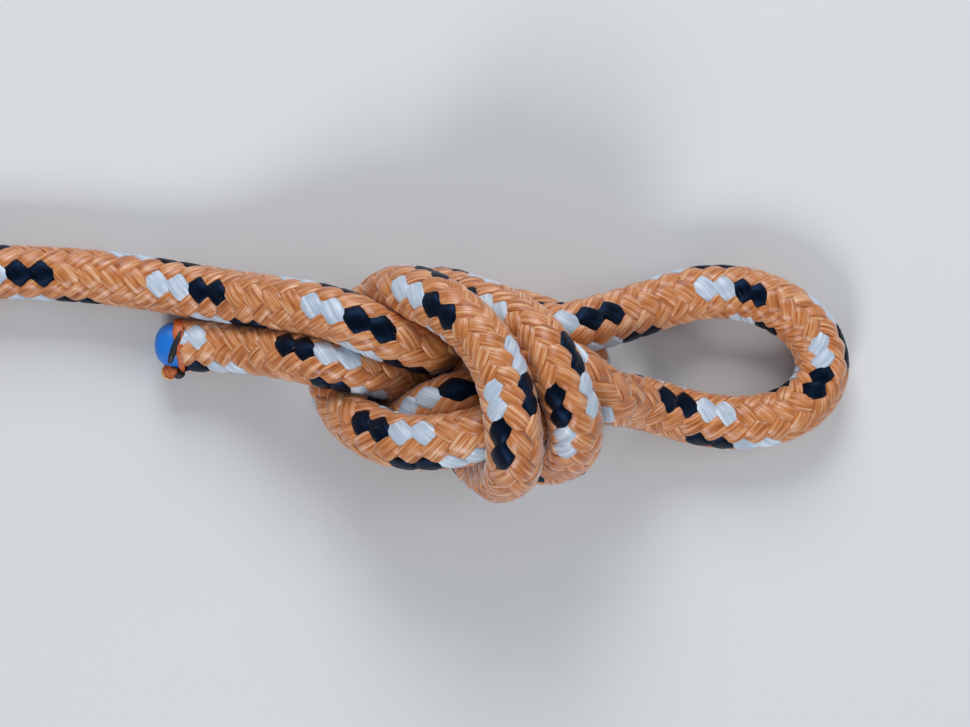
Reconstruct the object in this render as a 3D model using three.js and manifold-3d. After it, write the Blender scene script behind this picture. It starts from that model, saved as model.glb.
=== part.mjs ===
import * as THREE from 'three';
import Module from 'manifold-3d';

const wasm = await Module();
wasm.setup();

// Driving dimensions, millimetres.
const ROPE = 10;                 // rope diameter
const RADIUS = ROPE / 2;
const SHEATH = 1.8;              // thickness of the braided sheath
const GAP = 0.3;                 // left between pieces that touch
const PRESS_GAP = 0.55;          // half the gap between stretches pressed together
const STEP = 2;                  // spacing of the samples along the rope
const RING = 3;                  // samples between two rings of a tube
const SIDES = 12;                // corners of a tube's section
const SEAL_RISE = 3.2;           // how far the melted core end stands out
const SEAL_LIP = 0.9;            // thickness of the melted sheath rim
const RUN = 6 * ROPE;            // half of a hank's straight run
const INNER = 1.5 * ROPE;        // bend radius of the hank's inner turns
const OUTER = 2.5 * ROPE;        // bend radius of its outer turns
const LAYERS = 3;                // layers of turns in the hank
const WAIST = 4.5 * ROPE;        // half length over which the tie draws the hank in
const TIE_WIDTH = 20;
const TIE_THICK = 1.4;
const RIB = 6.4;                 // width of the ribs that stand for the hank's turns
const GROOVE = 1.8;              // depth of the grooves between them
const HANK_X = -19.5 * ROPE;     // middle of the hank
const HANK_Y = -0.8 * ROPE;
const PLACE = [109, 8, 0];   // puts the middle of the base at the origin

// Route of the rope's middle, in rope diameters, from the hank to the cut end.
const STANDING = [
  [-11, 1.7, 0.5], [-9, 1.7, 0.5], [-7.1, 1.6, 0.5], [-5.25, 1.32, 0.7], [-4, 1.1, 1.25],
  [-3.1, 0.92, 1.7],
];
const ENTRY = [
  [-2.3, 0.72, 1.95], [-1.52, 0.46, 1.95], [-0.9, 0.2, 1.7], [-0.35, 0.12, 1.15],
  [0.2, 0.45, 0.6], [0.9, 0.6, 0.5], [1.6, 0.25, 0.6], [1.9, -0.38, 0.95],
  [1.65, -0.9, 1.55], [1.05, -1, 2.2], [0.4, -1.15, 2.65], [-0.15, -1.3, 2.7],
  [-0.8, -1.38, 2.55], [-1.52, -1.38, 2.2], [-2.18, -1.16, 1.65], [-2.6, -0.7, 1.1],
  [-2.8, -0.1, 0.72], [-2.65, 0.42, 0.8], [-2.25, 0.85, 1.1], [-1.78, 1.16, 1.6],
  [-1.27, 1.27, 2.2], [-0.7, 1.03, 2.75], [-0.1, 0.52, 3.15], [0.24, 0, 3.35],
  [0.42, -0.6, 3.45], [0.5, -1.2, 3.4], [0.47, -1.68, 2.95], [0.34, -1.98, 2.2],
  [0.15, -1.98, 1.4], [-0.08, -1.75, 0.8], [-0.32, -1.2, 0.75], [-0.36, -0.6, 1.15],
  [-0.12, 0, 1.42], [0.3, 0.35, 1.45], [0.95, 0.42, 1.45], [1.55, 0.56, 1.35],
];
const LOOP = [
  [2.1, 0.74, 1.1], [2.95, 1.02, 0.7], [3.65, 1.27, 0.5], [4.35, 1.36, 0.5],
  [5.05, 1.25, 0.5], [5.65, 0.97, 0.5], [6.12, 0.55, 0.5], [6.32, 0, 0.5],
  [6.2, -0.5, 0.5], [5.8, -0.86, 0.5], [5.25, -1.06, 0.5], [4.65, -1.12, 0.5],
  [3.95, -1.03, 0.5], [3.25, -0.83, 0.75], [2.55, -0.64, 1.3],
];
const RETURN = [
  [2.03, -0.62, 1.85], [1.5, -0.4, 2.2], [0.98, -0.25, 1.9], [0.42, -0.4, 1.4],
  [0.3, -0.95, 0.85], [0.6, -1.45, 0.52], [1.05, -1.62, 0.6], [1.36, -1.55, 1.2],
  [1.48, -1.42, 1.95], [1.51, -1.1, 2.65], [1.46, -0.62, 3.05], [1.3, -0.12, 3.15],
  [1.02, 0.38, 2.95], [0.6, 0.76, 2.55], [0.08, 0.95, 2.05], [-0.45, 1.02, 1.6],
  [-1.02, 1.05, 1.02], [-1.52, 0.7, 0.6], [-1.88, 0.1, 0.5], [-1.98, -0.6, 0.5],
  [-1.78, -1.1, 0.8], [-1.3, -1.02, 1.35], [-0.83, -0.79, 1.9], [-0.32, -0.62, 2.2],
  [0.1, -0.65, 2.25], [0.42, -1.02, 1.9], [0.95, -1.12, 1.35], [1.1, -0.72, 0.85],
  [0.9, -0.22, 0.5], [0.35, -0.18, 0.48], [-0.2, -0.35, 0.48], [-0.82, -0.42, 0.58],
  [-1.42, -0.27, 1.05], [-2, -0.08, 1.55],
];
const TAIL = [
  [-2.7, 0.1, 1.7], [-3.4, 0.22, 1.45], [-4.2, 0.31, 0.9], [-5, 0.34, 0.55],
  [-5.85, 0.34, 0.5],
];

// Contact settling of the route, in rope diameters.
const SETTLE_TURNS = 900;        // rounds of settling
const CLEAR = 0.92;              // distance that the middles are pushed apart to
const OPEN_HOLD = 0.2;           // how firmly the route keeps its place outside the knot
const HIDDEN_HOLD = 0.01;        // and inside the knot
const PULL = 0.06;
const STIFF = 0.05;
const PUSH = 0.25;
const NEAR = 1.7;                // shorter stretches of rope don't touch themselves
const LONGEST_MOVE = 0.05;
const SMOOTHING = 6;             // passes that even out the settled path
// Stations where the hold changes, counted along the route: [first, last, hold].
const HIDDEN = [[9, 16], [36, 40], [58, 63], [71, 76], [82, 87]];

const v3 = (p) => new THREE.Vector3(p[0], p[1], p[2]);

function settledRoute() {
  const stations = [...STANDING, ...ENTRY, ...LOOP, ...RETURN, ...TAIL].map(v3);
  const curve = new THREE.CatmullRomCurve3(stations, false, 'centripetal');
  curve.arcLengthDivisions = 4000;
  const count = Math.round(curve.getLength() * ROPE / STEP);
  const spacing = curve.getLength() / count;
  const home = curve.getSpacedPoints(count);
  const nearest = stations.map((s) => {
    let best = 0;
    home.forEach((p, i) => {
      if (p.distanceTo(s) < home[best].distanceTo(s)) best = i;
    });
    return best;
  });
  const hold = home.map(() => OPEN_HOLD);
  for (const [first, last] of HIDDEN) {
    for (let i = nearest[first]; i <= nearest[last]; i += 1) hold[i] = HIDDEN_HOLD;
  }
  const path = home.map((p) => p.clone());
  const apart = Math.ceil(NEAR / spacing);
  const at = (i) => path[Math.min(Math.max(i, 0), count)];
  for (let turn = 0; turn < SETTLE_TURNS; turn += 1) {
    const force = path.map((p, i) => home[i].clone().sub(p).multiplyScalar(hold[i]));
    for (let i = 0; i <= count; i += 1) {
      if (i > 0 && i < count) {
        force[i].addScaledVector(at(i + 1), PULL).addScaledVector(at(i - 1), PULL);
        force[i].addScaledVector(path[i], -2 * PULL);
      }
      if (i > 1 && i < count - 1) {
        force[i].addScaledVector(at(i + 2), -STIFF).addScaledVector(at(i - 2), -STIFF);
        force[i].addScaledVector(at(i + 1), 4 * STIFF).addScaledVector(at(i - 1), 4 * STIFF);
        force[i].addScaledVector(path[i], -6 * STIFF);
      }
      for (let j = i + apart; j <= count; j += 1) {
        const x = path[i].x - path[j].x;
        const y = path[i].y - path[j].y;
        const z = path[i].z - path[j].z;
        const d = Math.sqrt(x * x + y * y + z * z);
        if (d < CLEAR) {
          const k = PUSH * (CLEAR - d) / d;
          force[i].x += k * x;
          force[i].y += k * y;
          force[i].z += k * z;
          force[j].x -= k * x;
          force[j].y -= k * y;
          force[j].z -= k * z;
        }
      }
      force[i].z += 0.5 * Math.max(0, 0.5 - path[i].z);
    }
    for (let i = 2; i < count - 1; i += 1) {
      force[i].clampScalar(-LONGEST_MOVE, LONGEST_MOVE);
      path[i].add(force[i]);
    }
  }
  for (let pass = 0; pass < SMOOTHING; pass += 1) {
    const before = path.map((p) => p.clone());
    for (let i = 1; i < count; i += 1) {
      path[i].addScaledVector(before[i], 1).add(before[i - 1]).add(before[i + 1]);
      path[i].divideScalar(4);
    }
  }
  path.forEach((p) => p.setZ(Math.max(p.z, 0.5)));
  const borders = [STANDING, ENTRY, LOOP, RETURN, TAIL].map((list) => list.length);
  let station = 0;
  const cuts = borders.map((n) => nearest[(station += n) - 1]);
  return { path: path.map((p) => p.multiplyScalar(ROPE)), cuts };
}

// Section frames that turn as little as possible along the path.
function frames(path) {
  const tangents = path.map((p, i) => {
    const a = path[Math.max(i - 1, 0)];
    const b = path[Math.min(i + 1, path.length - 1)];
    return b.clone().sub(a).normalize();
  });
  const sides = [];
  let side = new THREE.Vector3(0, 0, 1);
  tangents.forEach((t) => {
    side = side.clone().addScaledVector(t, -side.dot(t)).normalize();
    sides.push(side);
  });
  return tangents.map((t, i) => ({ t, u: sides[i], v: t.clone().cross(sides[i]) }));
}

// Radius of the rope in each direction of each ring: full size, but no further than half way
// to any other stretch that it is pressed against, and drawn in on the inside of a tight bend.
function pressedRings(path) {
  const frame = frames(path);
  const apart = Math.ceil(NEAR * ROPE / STEP);
  return path.map((c, i) => {
    const a = path[Math.max(i - 2, 0)];
    const b = path[Math.min(i + 2, path.length - 1)];
    const bend = a.clone().add(b).addScaledVector(c, -2).divideScalar((2 * STEP) ** 2);
    const radii = [];
    for (let k = 0; k < SIDES; k += 1) {
      const angle = 2 * Math.PI * k / SIDES;
      const dir = frame[i].u.clone().multiplyScalar(Math.cos(angle));
      dir.addScaledVector(frame[i].v, Math.sin(angle));
      let r = RADIUS;
      const inward = bend.dot(dir);
      if (inward > 0) r = Math.min(r, 0.8 / inward);
      for (let j = 0; j < path.length; j += 1) {
        if (Math.abs(j - i) < apart) continue;
        const way = path[j].clone().sub(c);
        const d = way.length();
        const facing = way.dot(dir) / d;
        if (d < 2 * ROPE && facing > 0) r = Math.min(r, (d / 2 - PRESS_GAP) / facing);
      }
      radii.push({ r, dir });
    }
    return radii;
  });
}

// Closed solid between ring functions: outer alone is a rod, outer and inner a hollow tube.
function sweep(path, rings, first, last, outer, inner) {
  const stops = [];
  for (let i = first; i < last - RING / 2; i += RING) stops.push(i);
  stops.push(last);
  const corners = [];
  const add = (size) => stops.forEach((i) => rings[i].forEach(({ r, dir }) => {
    const p = path[i].clone().addScaledVector(dir, size(r));
    corners.push(p.x, p.y, p.z);
  }));
  add(outer);
  if (inner) add(inner);
  const faces = [];
  const quad = (a, b, c, d) => faces.push(a, b, c, a, c, d);
  const layer = stops.length * SIDES;
  for (let k = 0; k < SIDES; k += 1) {
    const n = (k + 1) % SIDES;
    for (let s = 0; s < stops.length - 1; s += 1) {
      const row = s * SIDES;
      quad(row + k, row + n, row + SIDES + n, row + SIDES + k);
      if (inner) {
        const deep = layer + row;
        faces.push(deep + k, deep + SIDES + n, deep + n);
        faces.push(deep + k, deep + SIDES + k, deep + SIDES + n);
      }
    }
    const end = layer - SIDES;
    if (inner) {
      quad(n, k, layer + k, layer + n);
      quad(end + k, end + n, layer + end + n, layer + end + k);
    }
  }
  if (!inner) {
    for (const [stop, flip] of [[0, 1], [stops.length - 1, 0]]) {
      const middle = corners.length / 3;
      const c = path[stops[stop]];
      corners.push(c.x, c.y, c.z);
      for (let k = 0; k < SIDES; k += 1) {
        const n = (k + 1) % SIDES;
        const row = stop * SIDES;
        if (flip) faces.push(middle, row + n, row + k);
        else faces.push(middle, row + k, row + n);
      }
    }
  }
  const shape = new THREE.BufferGeometry();
  shape.setAttribute('position', new THREE.Float32BufferAttribute(corners, 3));
  shape.setIndex(faces);
  return shape;
}

// Profile of radius and height turned round the path's direction at one end.
function turned(path, at, along, profile) {
  const points = profile.map(([r, h]) => new THREE.Vector2(r, h));
  const shape = new THREE.LatheGeometry(points, 24);
  const turn = new THREE.Quaternion().setFromUnitVectors(new THREE.Vector3(0, 1, 0), along);
  shape.applyQuaternion(turn);
  shape.translate(path[at].x, path[at].y, path[at].z);
  return shape;
}

function solid(shape) {
  const plain = shape.index ? shape.toNonIndexed() : shape;
  const where = plain.getAttribute('position');
  const known = new Map();
  const corners = [];
  const faces = [];
  for (let i = 0; i < where.count; i += 1) {
    const p = [where.getX(i), where.getY(i), where.getZ(i)];
    const key = p.map((x) => Math.round(x * 1e4)).join();
    if (!known.has(key)) {
      known.set(key, corners.length / 3);
      corners.push(...p);
    }
    faces.push(known.get(key));
  }
  const kept = [];
  for (let i = 0; i < faces.length; i += 3) {
    const [a, b, c] = faces.slice(i, i + 3);
    if (a !== b && b !== c && c !== a) kept.push(a, b, c);
  }
  return new wasm.Manifold(new wasm.Mesh({
    numProp: 3,
    vertProperties: new Float32Array(corners),
    triVerts: new Uint32Array(kept),
  }));
}

function geometry(body) {
  const mesh = body.getMesh();
  const shape = new THREE.BufferGeometry();
  shape.setAttribute('position', new THREE.BufferAttribute(mesh.vertProperties.slice(), 3));
  shape.setIndex(new THREE.BufferAttribute(mesh.triVerts.slice(), 1));
  return shape;
}

// Distance of a lane of the hank from its middle line, drawn in by the tie at the waist.
function lane(radius, x) {
  if (Math.abs(x) >= WAIST) return radius;
  return radius - ROPE * (0.5 + 0.5 * Math.cos(Math.PI * x / WAIST));
}

// One side of an oval round the hank, from its left end to its right end.
function ovalSide(radius, shift, sign) {
  const steps = 14;
  const turnSteps = 12;
  const side = [];
  for (let i = 0; i < turnSteps; i += 1) {
    const a = Math.PI / 2 * (1 + i / turnSteps);
    const r = radius + shift;
    side.push([RUN - r * Math.cos(a), r * Math.sin(a)]);
  }
  side.reverse();
  const run = [-RUN];
  for (let i = 0; i <= steps; i += 1) run.push(WAIST * (2 * i / steps - 1));
  run.push(RUN);
  const line = run.map((x) => [x, lane(radius, x) + shift]);
  const left = side.slice(0, -1).map(([x, y]) => [-x, y]);
  const right = side.slice(0, -1).reverse();
  return [...left, ...line, ...right].map(([x, y]) => new THREE.Vector2(x * sign, y * sign));
}

// Flat slab between two ovals, or inside one where the inner oval is left out.
function slab(outer, inner, low, high) {
  const shape = new THREE.Shape([...ovalSide(...outer, -1), ...ovalSide(...outer, 1)].reverse());
  if (inner) {
    shape.holes.push(new THREE.Path([...ovalSide(...inner, 1), ...ovalSide(...inner, -1)]));
  }
  const block = new THREE.ExtrudeGeometry(shape, {
    depth: high - low, bevelEnabled: false, curveSegments: 1,
  });
  block.translate(0, 0, low);
  return solid(block);
}

// Rounded rectangle in the plane across the hank, as a block along it.
function waistBlock(width, height, lift, long, round) {
  const w = width / 2 - round;
  const h = height / 2 - round;
  const shape = new THREE.Shape();
  shape.absarc(w, h, round, 0, Math.PI / 2);
  shape.absarc(-w, h, round, Math.PI / 2, Math.PI);
  shape.absarc(-w, -h, round, Math.PI, 1.5 * Math.PI);
  shape.absarc(w, -h, round, 1.5 * Math.PI, 2 * Math.PI);
  const block = new THREE.ExtrudeGeometry(shape, {
    depth: long, bevelEnabled: false, curveSegments: 6,
  });
  block.translate(0, 0, -long / 2);
  block.rotateX(Math.PI / 2);
  block.rotateZ(Math.PI / 2);
  block.translate(0, 0, lift);
  return block;
}

const HEIGHT = LAYERS * ROPE;
const END_X = 0.72 * RUN;        // where the rope's far end lies on the hank

function hank() {
  const half = RIB / 2;
  let body = slab([OUTER, RADIUS - GROOVE], [INNER, GROOVE - RADIUS], GROOVE, HEIGHT - GROOVE);
  for (let layer = 0; layer < LAYERS; layer += 1) {
    const middle = ROPE * (layer + 0.5);
    body = body.add(slab([OUTER, RADIUS], [INNER, 0.1 - RADIUS], middle - half, middle + half));
  }
  for (const radius of [INNER, OUTER]) {
    body = body.add(slab([radius, half], [radius, -half], 0, HEIGHT));
  }
  const waist = 2 * (OUTER - ROPE + RADIUS);
  const band = solid(waistBlock(waist + 40, HEIGHT + 40, HEIGHT / 2, TIE_WIDTH + 2 * GAP, 1));
  const inside = solid(waistBlock(
    waist - 2 * (TIE_THICK + 2 * GAP), HEIGHT - 2 * (TIE_THICK + 2 * GAP), HEIGHT / 2,
    TIE_WIDTH + 20, 4,
  ));
  const pocket = new THREE.BoxGeometry(1.4 * ROPE, ROPE + 1, ROPE + 1);
  pocket.translate(END_X + 0.7 * ROPE, -INNER, HEIGHT - RADIUS + 0.5);
  const exitLength = 2.5 * ROPE;
  const exit = new THREE.CylinderGeometry(RADIUS, RADIUS, exitLength, 24);
  exit.rotateZ(Math.PI / 2);
  exit.translate(RUN + exitLength / 2, OUTER, RADIUS);
  const whole = body.subtract(band.subtract(inside)).subtract(solid(pocket));
  const shape = geometry(whole.add(solid(exit)));
  shape.translate(HANK_X, HANK_Y, 0);
  return shape;
}

function tie() {
  const waist = 2 * (OUTER - ROPE + RADIUS);
  const outside = solid(waistBlock(waist - 2 * GAP, HEIGHT - 2 * GAP, HEIGHT / 2, TIE_WIDTH, 5));
  const inside = solid(waistBlock(
    waist - 2 * (GAP + TIE_THICK), HEIGHT - 2 * (GAP + TIE_THICK), HEIGHT / 2, TIE_WIDTH + 2, 4,
  ));
  const shape = geometry(outside.subtract(inside));
  shape.translate(HANK_X, HANK_Y, 0);
  return shape;
}

const { path, cuts } = settledRoute();
const rings = pressedRings(path);
const last = path.length - 1;
const whole = (r) => r;
const lining = (r) => Math.max(r - SHEATH, 1);
const core = (r) => Math.max(r - SHEATH - GAP, 0.7);

const ORANGE = { color: 0xe08540, roughness: 0.62 };
const WHITE = { color: 0xe9ecf0, roughness: 0.7 };
const BLUE = { color: 0x1f6fc4, roughness: 0.25 };
const MELTED = { color: 0xb5532a, roughness: 0.3 };
const BLACK = { color: 0x14151c, roughness: 0.6 };

const group = new THREE.Group();
group.name = 'climbing_rope';

function put(name, shape, look) {
  shape.deleteAttribute('uv');
  shape.computeVertexNormals();
  shape.translate(...PLACE);
  const mesh = new THREE.Mesh(shape, new THREE.MeshStandardMaterial({ metalness: 0, ...look }));
  mesh.name = name;
  group.add(mesh);
}

const names = ['standing', 'knot_entry', 'loop', 'knot_return', 'tail'];
let from = 0;
names.forEach((name, i) => {
  const to = i === names.length - 1 ? last : cuts[i];
  const stretch = path.map((p) => p.clone());
  const way = stretch[from + 1].clone().sub(stretch[from]).normalize();
  stretch[from].addScaledVector(way, GAP);
  put(`${name}_sheath`, sweep(stretch, rings, from, to, whole, lining), ORANGE);
  put(`${name}_core`, sweep(stretch, rings, from, to, core), WHITE);
  from = to;
});

const outward = path[last].clone().sub(path[last - 1]).normalize();
const coreEnd = RADIUS - SHEATH - GAP;
put('tail_core_seal', turned(path, last, outward, [
  [0, GAP], [coreEnd, GAP], [coreEnd, 0.6], [0.8 * coreEnd, 0.65 * SEAL_RISE],
  [0.45 * coreEnd, 0.92 * SEAL_RISE], [0, SEAL_RISE],
]), BLUE);
put('tail_sheath_seal', turned(path, last, outward, [
  [coreEnd + GAP, GAP], [RADIUS, GAP], [RADIUS - 0.1, 0.7 * SEAL_LIP],
  [RADIUS - 0.6, SEAL_LIP], [coreEnd + GAP + 0.2, 0.8 * SEAL_LIP], [coreEnd + GAP, GAP],
]), MELTED);
put('hank', hank(), ORANGE);
put('hank_tie', tie(), BLACK);
const farEnd = [new THREE.Vector3(HANK_X + END_X, HANK_Y - INNER, HEIGHT - RADIUS)];
put('hank_end_seal', turned(farEnd, 0, new THREE.Vector3(1, 0, 0), [
  [0, GAP], [0.94 * RADIUS, GAP], [0.9 * RADIUS, 0.8], [0.6 * RADIUS, 0.8 * SEAL_RISE],
  [0, SEAL_RISE],
]), MELTED);

export default group;
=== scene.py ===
import math

import bpy
import numpy as np
from bpy.props import FloatProperty, FloatVectorProperty, IntProperty, PointerProperty
from bpy.types import Operator, Panel, PropertyGroup
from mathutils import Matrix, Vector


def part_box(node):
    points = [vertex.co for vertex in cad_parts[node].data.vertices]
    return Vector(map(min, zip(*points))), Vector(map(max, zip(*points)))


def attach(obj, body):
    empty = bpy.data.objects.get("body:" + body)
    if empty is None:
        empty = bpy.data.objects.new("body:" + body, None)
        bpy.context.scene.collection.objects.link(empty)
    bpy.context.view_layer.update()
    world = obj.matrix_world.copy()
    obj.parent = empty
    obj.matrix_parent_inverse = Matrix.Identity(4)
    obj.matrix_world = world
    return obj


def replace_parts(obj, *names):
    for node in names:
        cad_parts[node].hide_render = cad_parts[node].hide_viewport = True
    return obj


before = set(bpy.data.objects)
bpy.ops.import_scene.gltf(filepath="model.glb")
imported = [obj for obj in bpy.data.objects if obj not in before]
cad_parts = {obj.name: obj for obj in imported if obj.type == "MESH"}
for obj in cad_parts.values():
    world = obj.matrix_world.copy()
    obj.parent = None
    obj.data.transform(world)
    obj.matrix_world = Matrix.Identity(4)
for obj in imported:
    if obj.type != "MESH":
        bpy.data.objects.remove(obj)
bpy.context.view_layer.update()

bl_info = {
    "name": "Climbing rope with a figure-eight loop",
    "version": (1, 0, 0),
    "blender": (4, 5, 0),
    "location": "3D View > Sidebar > Rope",
    "description": "Builds a braided dynamic rope, its knot, its cut end and its hank",
    "category": "Object",
}

# Sizes in metres. X runs from the hank to the loop and Z is up.
MM = 0.001
ROPE = 0.010  # rope diameter
RADIUS = ROPE / 2
EACH_WAY = 8  # carriers that wind round the rope in each direction
CORE_DEPTH = 0.0019  # how far the core lies below the rope's surface
RUN = 6 * ROPE  # half of a hank's straight run
INNER = 1.5 * ROPE  # bend radius of the hank's inner turns
OUTER = 2.5 * ROPE  # bend radius of its outer turns
WAIST = 4.5 * ROPE  # half length over which the tie draws the hank in
LAYERS = 3
HANK = np.array([-0.195, -0.008, 0])
PLACE = np.array([0.109, 0.008, 0])  # puts the middle of the base at the origin
END_X = 0.72 * RUN  # where the far end lies on the hank
STEP = 0.002  # spacing of the samples along the rope
STRAIGHT_POINTS, BEND_POINTS = 60, 40  # points of one straight side and one end of an oval
MEET = 0.0005  # the hank's last point lies this far short of the route
SQUEEZE_LENGTH = 1.3 * ROPE  # half length over which the tie squeezes the hank
SQUEEZE_ACROSS, SQUEEZE_DOWN = 0.09, 0.14  # how much it squeezes it, as shares
TIE_LENGTH = 1.05 * ROPE  # half length of the hank under the tie
TIE_ROOM = ((1, 0.0182), (2, 0.0131))  # half of the room inside the tie, across and up

# Route of the rope's middle from the hank to the cut end.
STANDING = [
    (-0.11, 0.017, 0.005), (-0.09, 0.017, 0.005), (-0.071, 0.016, 0.005),
    (-0.0525, 0.0132, 0.007), (-0.04, 0.011, 0.0125), (-0.031, 0.0092, 0.017),
]
ENTRY = [
    (-0.023, 0.0072, 0.0195), (-0.0152, 0.0046, 0.0195), (-0.009, 0.002, 0.017),
    (-0.0035, 0.0012, 0.0115), (0.002, 0.0045, 0.006), (0.009, 0.006, 0.005),
    (0.016, 0.0025, 0.006), (0.019, -0.0038, 0.0095), (0.0165, -0.009, 0.0155),
    (0.0105, -0.01, 0.022), (0.004, -0.0115, 0.0265), (-0.0015, -0.013, 0.027),
    (-0.008, -0.0138, 0.0255), (-0.0152, -0.0138, 0.022), (-0.0218, -0.0116, 0.0165),
    (-0.026, -0.007, 0.011), (-0.028, -0.001, 0.0072), (-0.0265, 0.0042, 0.008),
    (-0.0225, 0.0085, 0.011), (-0.0178, 0.0116, 0.016), (-0.0127, 0.0127, 0.022),
    (-0.007, 0.0103, 0.0275), (-0.001, 0.0052, 0.0315), (0.0024, 0, 0.0335),
    (0.0042, -0.006, 0.0345), (0.005, -0.012, 0.034), (0.0047, -0.0168, 0.0295),
    (0.0034, -0.0198, 0.022), (0.0015, -0.0198, 0.014), (-0.0008, -0.0175, 0.008),
    (-0.0032, -0.012, 0.0075), (-0.0036, -0.006, 0.0115), (-0.0012, 0, 0.0142),
    (0.003, 0.0035, 0.0145), (0.0095, 0.0042, 0.0145), (0.0155, 0.0056, 0.0135),
]
LOOP = [
    (0.021, 0.0074, 0.011), (0.0295, 0.0102, 0.007), (0.0365, 0.0127, 0.005),
    (0.0435, 0.0136, 0.005), (0.0505, 0.0125, 0.005), (0.0565, 0.0097, 0.005),
    (0.0612, 0.0055, 0.005), (0.0632, 0, 0.005), (0.062, -0.005, 0.005),
    (0.058, -0.0086, 0.005), (0.0525, -0.0106, 0.005), (0.0465, -0.0112, 0.005),
    (0.0395, -0.0103, 0.005), (0.0325, -0.0083, 0.0075), (0.0255, -0.0064, 0.013),
]
RETURN = [
    (0.0203, -0.0062, 0.0185), (0.015, -0.004, 0.022), (0.0098, -0.0025, 0.019),
    (0.0042, -0.004, 0.014), (0.003, -0.0095, 0.0085), (0.006, -0.0145, 0.0052),
    (0.0105, -0.0162, 0.006), (0.0136, -0.0155, 0.012), (0.0148, -0.0142, 0.0195),
    (0.0151, -0.011, 0.0265), (0.0146, -0.0062, 0.0305), (0.013, -0.0012, 0.0315),
    (0.0102, 0.0038, 0.0295), (0.006, 0.0076, 0.0255), (0.0008, 0.0095, 0.0205),
    (-0.0045, 0.0102, 0.016), (-0.0102, 0.0105, 0.0102), (-0.0152, 0.007, 0.006),
    (-0.0188, 0.001, 0.005), (-0.0198, -0.006, 0.005), (-0.0178, -0.011, 0.008),
    (-0.013, -0.0102, 0.0135), (-0.0083, -0.0079, 0.019), (-0.0032, -0.0062, 0.022),
    (0.001, -0.0065, 0.0225), (0.0042, -0.0102, 0.019), (0.0095, -0.0112, 0.0135),
    (0.011, -0.0072, 0.0085), (0.009, -0.0022, 0.005), (0.0035, -0.0018, 0.0048),
    (-0.002, -0.0035, 0.0048), (-0.0082, -0.0042, 0.0058), (-0.0142, -0.0027, 0.0105),
    (-0.02, -0.0008, 0.0155),
]
TAIL = [
    (-0.027, 0.001, 0.017), (-0.034, 0.0022, 0.0145), (-0.042, 0.0031, 0.009),
    (-0.05, 0.0034, 0.0055), (-0.0585, 0.0034, 0.005),
]

# Contact settling of the route, in rope diameters, as in the solids.
SETTLE_TURNS = 900
CLEAR = 0.92  # distance that the middles are pushed apart to
OPEN_HOLD, HIDDEN_HOLD = 0.2, 0.01  # how strongly samples are held, in sight and hidden
PULL, STIFF, PUSH = 0.06, 0.05, 0.25  # strength of tension, of stiffness and of contact
NEAR = 1.7  # shorter stretches of rope don't touch themselves
LONGEST_MOVE = 0.05  # of a sample in one turn
SMOOTHING = 6  # passes of averaging each sample with its neighbours
FLOOR_PUSH = 0.5  # share of a sample's depth in the floor by which it is lifted
HIDDEN = [(9, 16), (36, 40), (58, 63), (71, 76), (82, 87)]  # first and last points

# How the braid lies: distance from the route's start in metres, turn of the braid
# about the rope in degrees, and how far its crossings lie off their even spacing, in metres.
# Each line has the rows of one part that shows, and the loop has two lines.
BRAID = np.array([
    (0, -3, -0.0075), (0.06, -15, -0.005), (0.11, -28, -0.008),
    (0.18, -90, -0.0055), (0.21, -90, -0.0055),
    (0.24, -30, -0.005), (0.26, -22, -0.007), (0.28, -18, -0.0145),
    (0.35, -40, -0.0175), (0.38, -30, -0.018), (0.4, -20, -0.027), (0.41, -15, -0.031),
    (0.43, 5, -0.0335), (0.46, 5, -0.029),
    (0.52, 50, -0.032), (0.54, 72, -0.0385), (0.56, 80, -0.041),
    (0.6, 70, -0.0445), (0.63, 65, -0.0465),
    (0.66, 5, -0.029), (0.68, 5, -0.033), (0.7, 5, -0.039), (0.73, 0, -0.0395),
])
BLEND = 0.004  # the rows are averaged over this distance to both sides

# How a rope that is pressed changes its section.
WAYS = 24  # directions across the rope in which its reach is worked out
FREE_REACH = 1.6  # reach before anything limits it, as a share of the radius
BEND_REACH = 0.86  # share of a tight bend's radius that the rope may fill on its inside
NEIGHBOUR = 1.5 * ROPE  # stretches further apart than this don't touch
GRAZING = 0.05  # cosine under which a direction counts as turned away
TOUCH = 0.00015  # how far pressed stretches lie into each other
BULGE = 0.9  # how much a pressed stretch widens where it is free

# How one carrier lies in the braid.
SUNK = 0.94  # depth of a carrier's middle below the rope's surface, in its thicknesses
CREST, FLATTEN = 1.14, 0.14  # wave over and under the others, and the one that squares it
WIDTH_MEAN, WIDTH_WAVE = 0.9, 0.14  # a carrier is wider on top and narrower below
SQUARE_ACROSS, SQUARE_UP = 0.6, 0.75  # powers that square off its rounded section
UV_STEP, UV_OTHER_WAY = 7.3, 61  # offsets, so that no two carriers have the same fibres
FINE_FROM = -0.02  # from here on the braid is sampled finely

# Loose filaments.
SEED = 11
FILAMENT_POINTS = 7
FILAMENT_RADIUS = 0.00001
ROOT_DEPTH = 0.0002  # depth at which a filament leaves the braid
LOWEST = 0.00005  # lowest height of a filament over the floor

# Stage.
FLOOR = 3  # half of the floor's side
EYE_HEIGHT = 0.6
VIEW_ANGLE = 17.17  # degrees across the wider side


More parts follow.
